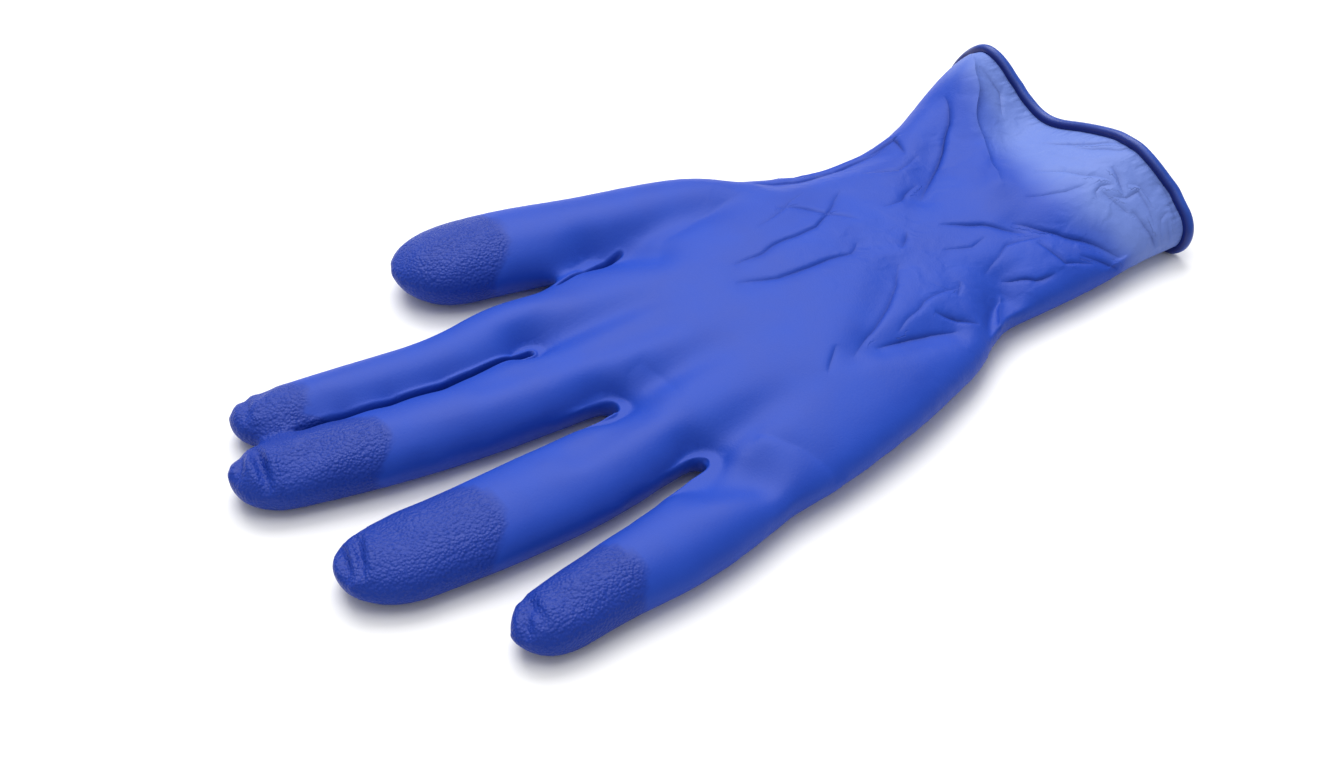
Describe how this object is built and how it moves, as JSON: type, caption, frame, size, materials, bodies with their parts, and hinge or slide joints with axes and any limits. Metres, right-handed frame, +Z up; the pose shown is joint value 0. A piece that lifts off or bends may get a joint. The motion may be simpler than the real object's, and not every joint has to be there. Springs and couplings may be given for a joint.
{
  "type": "nitrile exam glove",
  "caption": "Thin dipped nitrile exam glove with a rolled cuff bead, lying palm down and slightly puffed, hollow and open at the cuff.",
  "frame": {"origin": "middle of the glove's footprint, on the surface it lies on", "axes": "+X from the fingertips towards the open cuff, +Y towards the thumb's side, +Z up from the surface"},
  "size_m": [0.2304, 0.1276, 0.02],
  "materials": {
    "nitrile": "satin, thin blue film, lightly textured fingertips"
  },
  "bodies": {
    "root": {"glove": "nitrile"}
  },
  "joints": []
}
